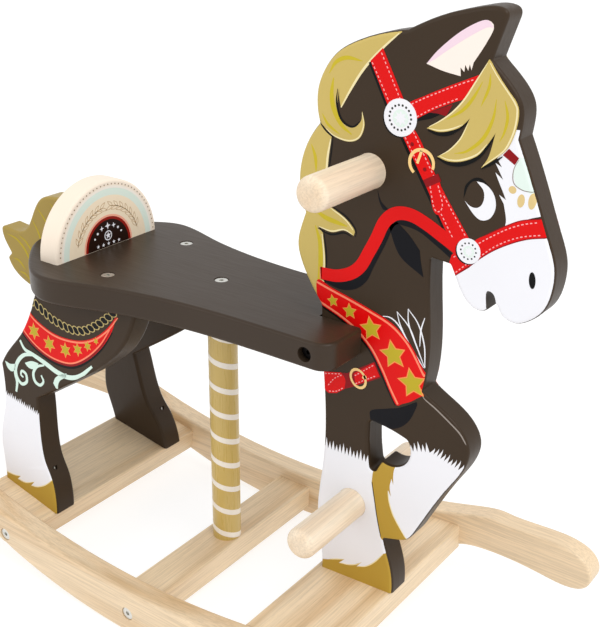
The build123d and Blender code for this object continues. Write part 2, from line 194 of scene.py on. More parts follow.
COLOURS = {      # as seen under the studio light
    "gold": (203, 180, 106), "cream": (240, 226, 176), "yellow": (200, 180, 52),
    "hoof": (186, 152, 66), "white": (240, 240, 245), "red": (222, 28, 22),
    "dark_red": (142, 30, 34), "salmon": (252, 138, 108), "pink": (250, 176, 176),
    "black": (18, 14, 12), "navy": (14, 22, 32), "ear_cream": (249, 236, 226),
    "ear_pink": (240, 214, 226), "star": (190, 170, 50), "star_edge": (244, 150, 84),
    "buckle": (246, 208, 140), "mint": (216, 238, 226), "tan": (222, 196, 138),
    "grey": (150, 140, 132), "rope": (196, 176, 118), "pale_mint": (226, 240, 232),
    "ring_white": (243, 235, 223), "ring_mint": (222, 234, 222), "disc_cream": (244, 226, 198),
    "tail_yellow": (184, 162, 44),
    "laurel": (196, 160, 116), "ring_red": (150, 40, 34), "ring_pink": (250, 176, 150),
    "disc_black": (46, 34, 30), "dot": (150, 128, 104), "dark_dot": (64, 66, 62),
}
PAINTS = {key: paint("paint_" + key, dyed(*rgb), 2, vary=0.02) for key, rgb in COLOURS.items()}


def set_material(node, mat):
    """Give a CAD node its only material."""
    obj = nodes[node]
    obj.data.materials.clear()
    obj.data.materials.append(mat)


for name, mat in {
    "rocker_right": wood_x, "rocker_left": wood_x, "rear_plank": wood_y, "middle_bar": wood_y,
    "front_plank": wood_y, "front_board": brown, "haunch_board_right": brown,
    "haunch_board_left": brown, "seat": brown_seat_sheen, "backrest": cream, "tail": gold_tail,
    "centre_pole": gold_pole, "handle": dowel_y, "footrest": dowel_y,
    "seat_cross_bolt": black_steel, "seat_cross_nut": black_steel,
}.items():
    set_material(name, mat)
for name in ("middle_bar_pins", "backrest_pins", "tail_pins"):
    set_material(name, dowel_y)
for name in ("rocker_bolts_right", "rocker_bolts_left", "plank_barrel_nuts", "front_foot_screws",
             "rear_foot_screws_right", "rear_foot_screws_left", "seat_bolts", "haunch_barrel_nuts",
             "pole_top_bolt", "pole_insert", "pole_bottom_screw", "backrest_screws"):
    set_material(name, steel)


# ---------------------------------------------------------------- flat shapes, in millimetres
def smooth(points, step=1.6):
    """A smooth curve through the points, as a list of closer points."""
    pts = [Vector((p[0], p[1])) for p in points]
    pts = [2 * pts[0] - pts[1]] + pts + [2 * pts[-1] - pts[-2]]
    out = []
    for a, b, c, d in zip(pts, pts[1:], pts[2:], pts[3:]):
        count = max(2, int((c - b).length / step))
        for i in range(count):
            t = i / count
            out.append(0.5 * (2 * b + (c - a) * t + (2 * a - 5 * b + 4 * c - d) * t * t
                              + (3 * b - a - 3 * c + d) * t ** 3))
    out.append(pts[-2])
    return out


def outline(*runs):
    """A closed outline. Each run starts where the last one ended and is smooth inside itself."""
    out, last = [], Vector(runs[-1][-1])
    for run in runs:
        points = [last] + [Vector(p) for p in run]
        out += points[1:] if len(points) == 2 else smooth(points)[1:]
        last = points[-1]
    return out


def polygon(*points):
    return [Vector(p) for p in points]


def normals(line):
    """Unit normals, to the left, along a line of points."""
    out = []
    for i in range(len(line)):
        way = line[min(i + 1, len(line) - 1)] - line[max(i - 1, 0)]
        way.normalize()
        out.append(Vector((-way.y, way.x)))
    return out


def band(points, width, ends=1.0, curve=True, shift=0.0):
    """A strip along a line, its ends scaled by ends (0 for a pointed stroke)."""
    line = smooth(points) if curve else polygon(*points)
    side = normals(line)
    left, right = [], []
    for i, (p, n) in enumerate(zip(line, side)):
        t = i / (len(line) - 1)
        half = width / 2 * (ends + (1 - ends) * sin(pi * min(max(t, 0.02), 0.98)) ** 0.7)
        left.append(p + n * (shift + half))
        right.append(p + n * (shift - half))
    return left + right[::-1]


def parallel(points, shift, curve=True):
    """The line through the points, moved to its left."""
    line = smooth(points) if curve else polygon(*points)
    return [p + n * shift for p, n in zip(line, normals(line))]


def dashes(points, shift, length=2.0, gap=1.5, width=0.8, curve=True):
    """Stitches beside a line."""
    line = parallel(points, shift, curve)
    out, travelled, start = [], 0.0, None
    fine = []
    for a, b in zip(line, line[1:]):
        steps = max(1, int((b - a).length / 0.25))
        fine += [a + (b - a) * (k / steps) for k in range(steps)]
    fine.append(line[-1])
    run = []
    for a, b in zip(fine, fine[1:]):
        phase = travelled % (length + gap)
        if phase < length:
            run.append(a)
        elif len(run) > 1:
            out.append(band([run[0], run[-1]], width, curve=False))
            run = []
        else:
            run = []
        travelled += (b - a).length
    return out


def ellipse(cx, cz, rx, rz=None, tilt=0.0, count=40):
    """An ellipse, or a circle with one radius."""
    rz = rx if rz is None else rz
    turn = radians(tilt)
    out = []
    for i in range(count):
        a = 2 * pi * i / count
        u, v = rx * cos(a), rz * sin(a)
        out.append(Vector((cx + u * cos(turn) - v * sin(turn), cz + u * sin(turn) + v * cos(turn))))
    return out


def arc(cx, cz, radius, start, end, count=24):
    """Points along part of a circle, between two angles in degrees."""
    turns = [radians(start + (end - start) * i / count) for i in range(count + 1)]
    return [(cx + radius * cos(a), cz + radius * sin(a)) for a in turns]


def star(cx, cz, radius, tilt=0.0, points=5, inner=0.45):
    """A star with a point upward, turned by tilt."""
    out = []
    for i in range(2 * points):
        r = radius * (1 if i % 2 == 0 else inner)
        a = radians(90 + tilt) + pi * i / points
        out.append(Vector((cx + r * cos(a), cz + r * sin(a))))
    return out


def ring(cx, cz, outer, inner, tilt=0.0, squash=1.0, count=48):
    """A closed ring as two half outlines, so that each is a simple polygon."""
    halves = []
    for start in (0, pi):
        arc = [start + pi * i / (count // 2) for i in range(count // 2 + 1)]
        pts = [(outer * cos(a) * squash, outer * sin(a)) for a in arc]
        pts += [(inner * cos(a) * squash, inner * sin(a)) for a in reversed(arc)]
        turn = radians(tilt)
        halves.append([Vector((cx + u * cos(turn) - v * sin(turn), cz + u * sin(turn) + v * cos(turn)))
                       for u, v in pts])
    return halves


def saw(start, end, count, depth, lean=0.0):
    """A row of pointed tufts from start to end, their tips depth above the line."""
    a, b = Vector(start), Vector(end)
    way = (b - a) / count
    up = Vector((-way.y, way.x)).normalized()
    if up.y < 0:
        up = -up
    out = []
    for i in range(count):
        p = a + way * i
        deep = depth * (0.65 + 0.35 * ((i * 7) % 5) / 4)
        out += [p + way * (0.24 + lean) + up * deep * 0.7, p + way * (0.38 + lean) + up * deep,
                p + way * (0.52 + lean) + up * deep * 0.7, p + way * 0.82]
    return out


# ---------------------------------------------------------------- the painted faces
# Each shape of paint has a layer, and a higher layer lies over a lower one. A shape that lies
# wholly on the flat of a face is a thin prism. The others are cut with a thin skin that follows
# the face and the start of its rounded edge.
LIFT = 0.05 * MM
WRAP = 0.85 * MM        # how far down the round-over the paint reaches
EMBED = 0.25 * MM       # how far every shape goes into the wood
MERGE = 0.12 * MM       # closer points of the board's mesh are joined before a skin is made
NUDGE = 0.03 * MM       # how far apart the pinched corners of a skin are moved
BELOW, ABOVE = -9 * MM, 3 * MM      # the reach of the prisms that cut a skin
FLATTEST = 0.3          # faces that lean further from the board's face are left out


def add_mesh(joined, piece, keep=False):
    """Adds a piece's evaluated mesh to a bmesh, and returns its number of faces."""
    depsgraph = bpy.context.evaluated_depsgraph_get()
    part = bpy.data.meshes.new_from_object(piece.evaluated_get(depsgraph))
    count = len(part.polygons)
    joined.from_mesh(part)
    bpy.data.meshes.remove(part)
    if not keep:
        bpy.data.objects.remove(piece)
    return count


class Face:
    """One painted board face: where a flat shape's point lies, and the board it belongs to."""

    def __init__(self, name, node, place, normal, mirror=None, slot="painted_board"):
        self.name, self.node, self.place = name, node, place
        self.normal, self.mirror, self.slot = Vector(normal), mirror, slot
        self.shapes = {}

    def add(self, colour, layer, *shapes):
        """Keep shapes for build."""
        self.shapes.setdefault((layer, colour), []).extend(shapes)

    def skin(self, height):
        """A closed skin over the face and the start of its round-over, its outside at height."""
        source = bmesh.new()
        source.from_mesh(nodes[self.node].data)
        bmesh.ops.remove_doubles(source, verts=source.verts, dist=MERGE)
        level = max(v.co.dot(self.normal) for v in source.verts)
        bmesh.ops.bisect_plane(source, geom=source.verts[:] + source.edges[:] + source.faces[:], dist=1e-7,
                               plane_co=self.normal * (level - WRAP), plane_no=self.normal, clear_inner=True)
        source.normal_update()
        out = [f for f in source.faces if f.normal.dot(self.normal) < FLATTEST]
        bmesh.ops.delete(source, geom=out, context="FACES")
        bmesh.ops.dissolve_degenerate(source, dist=0.02 * MM, edges=source.edges)
        for vert in [v for v in source.verts if sum(e.is_boundary for e in v.link_edges) > 2]:
            for fan in bmesh.utils.vert_separate(vert, [e for e in vert.link_edges if e.is_boundary]):
                if fan.link_faces:
                    middle = sum((f.calc_center_median() for f in fan.link_faces),
                                 Vector()) / len(fan.link_faces)
                    fan.co += (middle - fan.co).normalized() * NUDGE
        bmesh.ops.delete(source, geom=[v for v in source.verts if not v.link_faces], context="VERTS")
        source.normal_update()
        offsets = {v: v.normal.copy() for v in source.verts}
        shell = bmesh.ops.duplicate(source, geom=source.verts[:] + source.edges[:] + source.faces[:])
        lower = {v: shell["vert_map"][v] for v in offsets if v in shell["vert_map"]}
        rim = [e for e in source.edges if e.is_boundary and e.verts[0] in offsets]
        for v, n in offsets.items():
            lower[v].co -= n * EMBED
            v.co += n * height
        flip = [f for f in source.faces if f.verts[0] not in offsets]
        bmesh.ops.reverse_faces(source, faces=flip)
        for e in rim:
            a, b = e.verts
            source.faces.new((a, b, lower[b], lower[a]))
        bmesh.ops.recalc_face_normals(source, faces=source.faces)
        mesh = bpy.data.meshes.new("skin")
        source.to_mesh(mesh)
        source.free()
        obj = bpy.data.objects.new("skin", mesh)
        bpy.context.scene.collection.objects.link(obj)
        return obj

    def prism(self, shapes, low, high):
        """The shapes as closed prisms between two distances from the face."""
        mesh = bmesh.new()
        for shape in shapes:
            tidy = [shape[0]]
            for p in shape[1:]:
                if (p - tidy[-1]).length > 0.05:
                    tidy.append(p)
            if (tidy[0] - tidy[-1]).length < 0.05:
                tidy.pop()
            base = [mesh.verts.new(self.place(p.x, p.y) + self.normal * low) for p in tidy]
            top = [mesh.verts.new(self.place(p.x, p.y) + self.normal * high) for p in tidy]
            mesh.faces.new(base)
            mesh.faces.new(top[::-1])
            for i in range(len(base)):
                j = (i + 1) % len(base)
                mesh.faces.new((base[i], top[i], top[j], base[j]))
        bmesh.ops.recalc_face_normals(mesh, faces=mesh.faces)
        data = bpy.data.meshes.new("prism")
        mesh.to_mesh(data)
        mesh.free()
        obj = bpy.data.objects.new("prism", data)
        bpy.context.scene.collection.objects.link(obj)
        return obj

    def build(self):
        """Make a piece per layer and colour, and its mirror image on the other side."""
        skins = {}
        data = nodes[self.node].data
        tree = BVHTree.FromPolygons([v.co for v in data.vertices], [p.vertices for p in data.polygons])

        def on_flat(point):
            start = self.place(point.x, point.y) + self.normal * MM
            hit = tree.ray_cast(start, -self.normal)
            return hit[0] is not None and abs(hit[3] - MM) < 0.01 * MM

        for (layer, colour), shapes in sorted(self.shapes.items()):
            height = LIFT * (layer + 1)
            whole = [shape for shape in shapes if all(on_flat(p) for p in shape)]
            cut_off = [shape for shape in shapes if shape not in whole]
            joined = bmesh.new()
            if whole:
                add_mesh(joined, self.prism(whole, -EMBED, height))
            if cut_off and layer not in skins:
                skins[layer] = self.skin(height)
            for shape in cut_off:
                tool = self.prism([shape], BELOW, ABOVE)
                cut = tool.modifiers.new("cut", "BOOLEAN")
                cut.operation, cut.solver, cut.object = "INTERSECT", "EXACT", skins[layer]
                if not add_mesh(joined, tool, keep=True):
                    cut.use_self = True
                    add_mesh(joined, tool, keep=True)
                bpy.data.objects.remove(tool)
            mesh = bpy.data.meshes.new("paint")
            joined.to_mesh(mesh)
            joined.free()
            name = f"{self.name}_paint_{layer}_{colour}"
            finish_piece(name, mesh, PAINTS[colour])
            if self.mirror:
                other = mesh.copy()
                other.transform(Matrix.Scale(-1, 4, Vector((0, 1, 0))))
                other.flip_normals()
                finish_piece(self.mirror + name[len(self.name):], other, PAINTS[colour])
        for skin in skins.values():
            bpy.data.objects.remove(skin)


def finish_piece(name, mesh, mat):
    """An object from a mesh, with one material, riding on the root."""
    mesh.name = name
    mesh.materials.clear()
    mesh.materials.append(mat)
    for poly in mesh.polygons:
        poly.material_index = 0
    obj = bpy.data.objects.new(name, mesh)
    bpy.context.scene.collection.objects.link(obj)
    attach(obj, "root")
    return obj


# ---- the front board
front_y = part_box("front_board")[0][1]
front = Face("front_right", "front_board", lambda x, z: Vector((x * MM, front_y, z * MM)), (0, -1, 0),
             mirror="front_left")

mane_crest = outline(
    [(198, 557), (165, 552), (138, 530), (130, 500), (140, 479)],
    [(145.5, 476.5), (151, 471), (160, 465.5), (173, 463.5), (183, 467.5), (187.5, 478), (185, 489)],
    [(184, 481), (177, 475), (168, 478.5), (162.5, 490), (163.2, 504)],
    [(163.8, 496), (165.5, 489)],
    [(173, 503), (182, 517), (191, 528), (202, 539), (217, 551)])
mane_back = outline(
    [(142, 476), (118, 446), (114, 400), (118, 360), (135, 325), (148, 317)],
    [(151, 319)], [(152, 332), (153.5, 352), (153, 366), (150.5, 384)], [(145, 389)],
    [(159, 386.5), (171, 390.5), (180.5, 388)], [(181, 393), (172, 401), (156, 408.5)],
    [(152, 420), (152, 432), (154, 446), (157.5, 466)], [(150, 471.5)])
front.add("gold", 1, mane_crest, mane_back)
front.add("cream", 2,
          band([(166, 489), (174, 503), (183, 517), (192, 528), (203, 539), (215, 549.5)], 2.0, 0.4,
               shift=0.5),
          band([(152, 470.6), (160, 466), (173, 464.3), (182.5, 468.2), (186.6, 478), (185, 488)], 1.2, 0.3),
          band([(156.5, 463), (154, 449), (153, 437), (152, 428)], 2.0, 0.4),
          band([(157, 407), (172, 400), (180, 392.5)], 1.3, 0.3),
          band([(146, 388.8), (159, 387.4), (171, 391.2), (179.5, 388.8)], 1.3, 0.3),
          band([(149.8, 383), (152, 366), (152.4, 352), (151, 334)], 1.6, 0.4))
front.add("yellow", 2,
          band([(154, 514), (160, 523), (170, 527.5), (184, 526.5)], 3.2, 0),
          band([(158, 511), (156.6, 498), (159, 487), (166, 476), (176, 469.5)], 4.4, 0.1),
          band([(148, 482), (154, 474), (165, 468)], 2.4, 0),
          band([(138, 456), (142, 446), (143, 434)], 3.0, 0),
          band([(141, 403), (152, 398), (163, 396), (174, 394.5)], 4.2, 0.1),
          band([(143, 389), (148, 374), (148.5, 352), (146, 336)], 4.6, 0.1))
front.add("black", 2,
          band([(146, 474.5), (152, 469), (159, 464.5)], 1.6, 0.4),
          band([(158.6, 464), (157, 450), (155.2, 436)], 1.2, 0.3),
          band([(163, 503), (162.5, 492), (167, 480.5), (176, 476.5), (182.5, 481.5)], 2.0, 0.1, shift=-1.0),
          band([(157.5, 408.2), (173, 401.5), (181.8, 393), (181.5, 387.5)], 1.4, 0.2, shift=0.7),
          band([(145.4, 388), (158, 385.2), (171, 389.2), (179, 387.4)], 1.6, 0.2, shift=-0.8),
          band([(151.8, 384), (154.4, 366), (154, 350), (152.8, 332)], 1.4, 0.3))

# bridle: cheek strap, brow band, lower strap, nose band and the two rosettes
front.add("black", 3,
          polygon((189.4, 526), (193, 528), (211, 496), (206.4, 494)),
          polygon((229, 487), (232, 492), (245, 497), (262, 505), (256, 498), (245, 492)),
          polygon((219.5, 474), (223, 474), (262, 412), (259.5, 411)))
front.add("red", 4,
          polygon((191, 527.5), (201.4, 538), (222, 501), (209, 494)),
          outline([(224, 499), (239, 508), (255, 516), (270, 523), (282, 528.5)],
                  [(278, 514), (262, 506), (246, 498), (231, 489)]),
          outline([(232, 481), (255, 445), (283, 407)], [(269.5, 401.5), (243, 442), (222, 475)]))
front.add("dark_red", 4,
          polygon((243, 496.3), (250, 499.5), (262, 505), (257, 495.5), (250, 496.5)))
front.add("pink", 5,
          *dashes([(192.6, 526.6), (210, 497)], 0.0, curve=False),
          *dashes([(200.4, 534.5), (219, 501)], 0.0, curve=False),
          *dashes([(228, 500.3), (239, 506.4), (255, 514.3), (270, 521.3), (279, 525)], 0.0),
          *dashes([(233, 491.6), (246, 499.6), (262, 507.6), (268, 510.5)], 0.0),
          *dashes([(230.6, 480.2), (253.6, 444.4), (281, 407)], 0.0),
          *dashes([(223.8, 475), (235, 458)], 0.0, curve=False),
          *dashes([(256, 425), (269, 405.5)], 0.0, curve=False))
front.add("red", 6, outline([(244, 444), (254, 449)],
                            [(258, 439), (260.6, 430), (258.6, 422.4), (254, 420.8), (250.4, 425.6),
                             (247.4, 437)],
                            [(244, 444)]))
front.add("pink", 7, *dashes([(247.4, 441.5), (251, 427.6), (254, 423), (257.6, 424.4), (258.6, 430.4),
                              (253.6, 444.5)], 0.0))
front.add("dark_red", 8, polygon((241.2, 445), (253.4, 452.2), (256.4, 446.8), (244.4, 439.8)))
front.add("dark_red", 7, ellipse(230.2, 470.6, 1.5), ellipse(242, 453.4, 1.5))
front.add("buckle", 9, band(arc(239, 457.6, 10.2, -18, 232), 2.6, 0.8),
          band([(238.6, 467), (235.4, 457)], 2.6, 0.8, curve=False))
NOSE_UP = [(286, 405), (299, 415), (311, 423), (323, 429.6), (337, 433.4), (348, 435.6)]
NOSE_LO = [(284, 386), (293, 395), (304, 404), (317, 412), (329, 417.6), (341, 421), (352, 423)]
front.add("red", 4, outline(NOSE_UP, [(351, 424)], NOSE_LO[::-1]),
          polygon((281, 392), (275, 400), (269, 391.5), (267.5, 385), (273, 376.5), (284, 386.5)))
front.add("pink", 5, *dashes([(288, 403.6), (299.8, 412.6), (312, 421), (324, 427.2), (338, 431.8)], 0.0),
          *dashes([(292, 395), (301, 403.8), (313, 412.3), (325, 418.2), (341, 422.9)], 0.0),
          *dashes([(271, 390.5), (278.5, 396.5)], 0.0, curve=False),
          *dashes([(273.6, 378.8), (283, 388.2)], 0.0, curve=False))
front.add("dark_red", 3, band(NOSE_LO, 1.6, 1.0), band(NOSE_UP, 1.4, 1.0),
          polygon((272.4, 375), (267, 384.5), (268.4, 385.5), (273.2, 377.6), (284, 387), (285, 385.6)))
for cx, cz, size, dot_ring, count, dot in ((219, 489, 14.2, 9.4, 18, 0.95), (283, 398, 9.9, 6.3, 12, 0.75)):
    front.add("black", 9, ellipse(cx - 1.0, cz - 1.0, size * 0.99))
    front.add("white", 10, ellipse(cx, cz, size))
    front.add("pale_mint", 11, ellipse(cx + 0.4, cz - 0.4, dot_ring * 0.72))
    front.add("white", 12, star(cx + 0.4, cz - 0.4, dot_ring * 0.62, 0, 8, 0.55))
    front.add("dark_dot", 11, *[ellipse(cx + dot_ring * cos(2 * pi * i / count),
                                        cz + dot_ring * sin(2 * pi * i / count), dot, count=10)
                                for i in range(count)])

# ear
front.add("ear_cream", 3, outline(
    [(248, 542), (263, 555), (277, 563.5), (285, 565.5), (289.5, 561), (284, 549), (276, 536)],
    [(274.8, 530.6)], [(273.2, 534.6)], [(272.2, 530)], [(269.6, 533.8)], [(269.2, 528.6)],
    [(266, 531.6)], [(266.6, 525.4)],
    [(252, 527.5), (238.6, 531)]))
front.add("ear_pink", 4, outline([(248, 542), (263, 555), (277, 563.5), (285, 565.5), (289.5, 561)],
                                 [(284, 560.5), (271, 553), (257, 543.5), (245, 534.5)], [(238.8, 531.2)]))

# forelock
front.add("black", 12,
          band([(243, 483), (252, 481.5), (262, 484), (275, 493.5)], 2.6, 0.1),
          band([(252, 463.8), (262, 461), (274, 463), (286, 471), (296.5, 486.5)], 2.8, 0.1),
          band([(288, 461.8), (296, 467), (304, 473.5)], 2.0, 0.1))
front.add("gold", 13, outline(
    [(288, 539.5)], [(297, 528.5), (305, 519.5), (311, 513), (313.6, 505.5), (312.4, 493), (308, 481),
                     (302, 474), (288, 462.4)],
    [(293.5, 472), (297.4, 489.5)],
    [(291, 479), (284, 470.5), (272, 464.6), (261, 463), (252, 465)],
    [(261, 470.5), (269, 480), (276.6, 497)],
    [(270, 490), (262, 485.8), (252, 483.4), (242, 484.6)],
    [(252, 491.6), (262, 499.4), (270, 508.4), (278, 521.5), (288, 539.5)]))
front.add("cream", 14,
          band([(244, 484.8), (253, 484.6), (262, 487), (271, 491.5)], 1.2, 0.2),
          band([(244, 486), (254, 492.4), (263, 500), (271, 509.5), (279, 523), (287, 537)], 1.2, 0.3),
          band([(254, 465.6), (262, 464.2), (272, 465.8), (284, 471.8), (291.5, 480.6)], 1.3, 0.2),
          band([(289.6, 464.4), (302, 475), (307, 481.4), (311.2, 493), (312.4, 505), (310, 512.4),
                (296, 528), (289, 537)], 1.3, 0.3),
          band([(254, 466), (262, 471.6), (270, 481), (275.4, 493)], 1.0, 0.2))
front.add("yellow", 14,
          band([(284.5, 524), (278, 511.5), (270, 501.5), (258, 493.5)], 2.6, 0),
          band([(290, 530), (289.5, 520), (284.5, 506.5)], 2.2, 0),
          band([(296, 513), (294.5, 499), (288, 484), (276, 473), (266, 469.5)], 2.8, 0),
          band([(302.5, 513), (305.5, 502), (304, 491), (301, 484)], 2.2, 0))

# face: blaze and muzzle, eye, nostril, leaves on the blaze
front.add("white", 2,
          outline([(306, 494)], [(330, 494)], [(352, 440)], [(330, 433), (310, 421)],
                  [(310.8, 428), (308, 439.4)],
                  [(303.8, 445.4)], [(309.4, 442.6)], [(306.4, 448.4), (303, 454.4)], [(299.4, 461.2)],
                  [(306, 456.8)], [(302.2, 463)], [(298.8, 468.2)], [(304.2, 465.6)], [(300, 471.6)]),
          outline([(283, 394), (300, 403), (312, 411), (324, 417.5), (352, 424)],
                  [(372, 400), (366, 360), (330, 336), (296, 336), (262, 366)],
                  [(266, 380), (272.6, 376.6)]))
front.add("dark_red", 3, polygon((304, 474.6), (308.4, 480), (316.6, 474.4), (313.8, 469)))
front.add("pale_mint", 3, outline([(317.4, 475.4), (323, 474), (332, 470)],
                                  [(332, 452), (322, 452), (316, 454.4)],
                                  [(313.4, 462), (314.4, 469.4), (317.4, 475.4)]))
front.add("grey", 4, band([(316.6, 473), (314, 468), (313, 461.6), (314.6, 455.6), (321, 452.2),
                           (328, 452), (334, 453)], 0.7, 0.5))
front.add("tan", 4, ellipse(313.8, 451, 3.0, 2.8), ellipse(321, 444.2, 2.8, 4.9, -6),
          ellipse(329.6, 445.4, 3.0, 6.0, -6))
front.add("black", 3,
          outline([(275.8, 438), (276.2, 446.4), (280, 451.8), (284.6, 454.6), (290, 454.2), (297, 448.6)],
                  [(291.4, 452), (285, 452.4), (281, 450.4), (278.2, 446), (276.8, 441)], [(275.8, 438)]))
front.add("white", 4, outline([(291, 451.6), (296.2, 448.8), (300.4, 443.4), (301.9, 436.4), (300.4, 430),
                               (296.8, 425.4),
                               (290.6, 423.8), (284.4, 427.4), (277, 435.6)],
                              [(281, 432.8), (286, 432), (290.2, 434.6), (292.2, 440), (291.2, 446.4),
                               (285.4, 452)]))
front.add("black", 4, ellipse(335.4, 387, 2.6, 6.4, 6))

# rein, its shadow, and the throat's shadow
front.add("navy", 2,
          outline([(151, 343), (168, 339), (183, 342.5), (194, 352), (201, 367), (210, 386)],
                  [(218, 404), (226, 406), (240, 404), (254, 397), (268, 389)], [(271, 391.5)],
                  [(260, 399), (248, 406.5), (234, 411.5), (220, 411)],
                  [(205, 398), (193, 366), (176, 350), (151, 346)]),
          outline([(213, 403), (224, 381), (246, 368)], [(243, 380), (241.5, 389)],
                  [(232, 399), (220, 408)], [(213, 403)]),
          outline([(201.4, 430), (205, 421.5), (212, 416)], [(207.6, 415), (203.4, 421), (201.4, 430)]))
REIN = [(149, 348.7), (165, 350), (179, 355.6), (188.5, 364.4), (195.5, 377.4), (202, 390.2), (208, 404),
        (215.4, 412.2),
        (223.6, 415.6), (234, 415.4), (246, 411.4), (260, 404.8), (276, 397)]
front.add("red", 3, band(REIN, 10.8))
front.add("salmon", 3, polygon((148.2, 343.5), (150, 343.2), (150, 354.2), (148.2, 354.4)))

# chest strap with stars
CHEST_UP = [(146, 342), (160, 338.4), (179, 334), (198, 329), (218, 322.8), (231, 314.6), (241, 304.4),
            (254, 285)]
CHEST_LO = [(146, 322), (153, 319.6), (169, 314), (185, 306), (200, 293.4), (211, 277.8), (219.6, 262.6),
            (227.4, 250.4)]
front.add("black", 3, band(CHEST_LO, 3.0, 0.8, shift=-0.6))
front.add("red", 5, outline(CHEST_UP, [(256, 270)], [(246, 262)], [(240.5, 257.4), (233, 253)],
                            CHEST_LO[::-1]))
front.add("salmon", 6, band(CHEST_UP, 1.8, 1.0, shift=-2.2), band(CHEST_LO, 1.8, 1.0, shift=1.9))
for cx, cz, size, tilt in ((162, 327, 6.0, 15), (179, 322, 7.4, 8), (200.4, 312, 11.4, 14),
                           (222.4, 295, 13.4, 16), (241.4, 274.6, 14.2, 16)):
    front.add("star_edge", 7, star(cx, cz, size, tilt, inner=0.5))
    front.add("star", 8, star(cx, cz, size * 0.84, tilt, inner=0.5))
front.add("white", 4, *[band(p, 1.1, 0.35) for p in (
    [(211, 326), (218, 326.6), (225.6, 322.4), (234, 312)],
    [(224, 333.4), (227.6, 322.6), (237, 308), (251, 291.5)],
    [(224, 333.4), (236, 322.8), (243, 309.6), (252, 291.5)],
    [(234, 338.4), (235.4, 325.4), (242.6, 310), (249, 298)],
    [(234, 338.4), (244, 327.6), (250.4, 311), (252, 292)],
    [(249.4, 334.6), (246.6, 323), (246.4, 309)])])

# girth strap and buckle
front.add("dark_red", 3, polygon((150, 258.4), (178, 264.6), (205, 283.5), (211.5, 270.5), (185, 254),
                                 (166, 243.5), (150, 242)))
front.add("red", 4, outline([(150, 257.8)], [(172, 263.4)], [(176.5, 258), (175.8, 249)], [(168, 242.6)],
                            [(160, 240)], [(150, 244)]),
          polygon((185, 266.4), (204, 282), (210.4, 271.4), (187, 256)))
front.add("pink", 5, *dashes([(152, 256.8), (172, 262)], 0.0, curve=False),
          *dashes([(159, 247.5), (165.5, 256), (173, 261.4)], 0.0),
          *dashes([(160, 242), (168, 244.4), (176, 251)], 0.0),
          *dashes([(186, 264.8), (204, 279.8)], 0.0, curve=False),
          *dashes([(187, 257.6), (209, 272.4)], 0.0, curve=False))
front.add("buckle", 6, *ring(189.4, 263, 9.6, 7.2, 30, 0.86), ellipse(195.6, 266, 2.4, 1.8, 30))

# lower body: shadow under the strap, knee line, socks and hooves
front.add("navy", 1, outline([(203, 237), (218, 243.6), (231, 249), (246, 259)],
                             [(247, 256), (240.6, 240), (230.6, 229.6), (217, 224.6), (203, 228)]))
front.add("grey", 2, band([(250.6, 269), (253, 264.4), (264, 258.6), (278, 250), (287, 243.4),
                           (293.4, 235)], 1.2, 0.4))
front.add("hoof", 1,
          polygon((140, 50), (240, 50), (240, 104), (140, 80)),
          outline([(206, 175)], [(206, 167)], [(210, 148), (213.6, 132), (217.5, 114)], [(225, 106)],
                  [(262, 112), (250, 140), (232, 196)], [(210, 192)]))
front.add("black", 2, band([(207, 168), (210.8, 148), (213.8, 133), (218.2, 116)], 1.0, 0.6))
front.add("white", 3,
          outline([(140, 186)], *[[p] for p in saw((150, 184.5), (204, 185), 15, 11)], [(208, 186)],
                  [(206.6, 167)],
                  [(210.4, 148), (213.4, 133), (218, 115)], [(230, 100)],
                  [(222, 99.5), (213, 86), (204, 77.6), (194.4, 73.6)], [(199.6, 80.6)],
                  [(192, 75), (184, 70.8), (175, 69)], [(181, 75.4)], [(172, 71.4), (163, 67.6), (140, 59)]),
          outline([(238, 213)], *[[p] for p in saw((243, 211), (262, 217), 5, 10, 0.1)],
                  *[[p] for p in saw((262, 217), (292, 209), 9, 10, 0.3)], [(300, 212)],
                  [(300, 180), (262, 118)], [(247, 121)],
                  [(238.6, 131.6), (230.4, 143), (225.4, 155.6), (223.6, 166)], [(226.6, 160.4)],
                  [(225, 170), (226.4, 178.4)], [(228.4, 173)], [(228, 184), (230, 196)], [(236, 206)]))
front.add("cream", 4,
          band([(164, 68.2), (172, 71.8), (180, 75)], 1.1, 0.3),
          band([(176, 69.6), (185, 71.4), (194, 75.6), (198.6, 79.6)], 1.1, 0.3),
          band([(195.5, 74.2), (204, 78), (213, 86.6), (221.4, 98.6)], 1.1, 0.4),
          band([(246, 121.6), (238, 131.6), (230, 142.8), (225, 155.2), (223.4, 165)], 1.1, 0.4))
front.build()

# ---- the haunch boards: the face leans inwards, so a point's distance out falls with its height
LEAN = radians(6.2)
out_normal = Vector((0, -cos(LEAN), sin(LEAN)))
reach = max(v.co.dot(out_normal) for v in nodes["haunch_board_right"].data.vertices)


def on_haunch(x, z):
    """The point of the board's outer face at that x and z."""
    y = (z * MM * sin(LEAN) - reach) / cos(LEAN)
    return Vector((x * MM, y, z * MM))


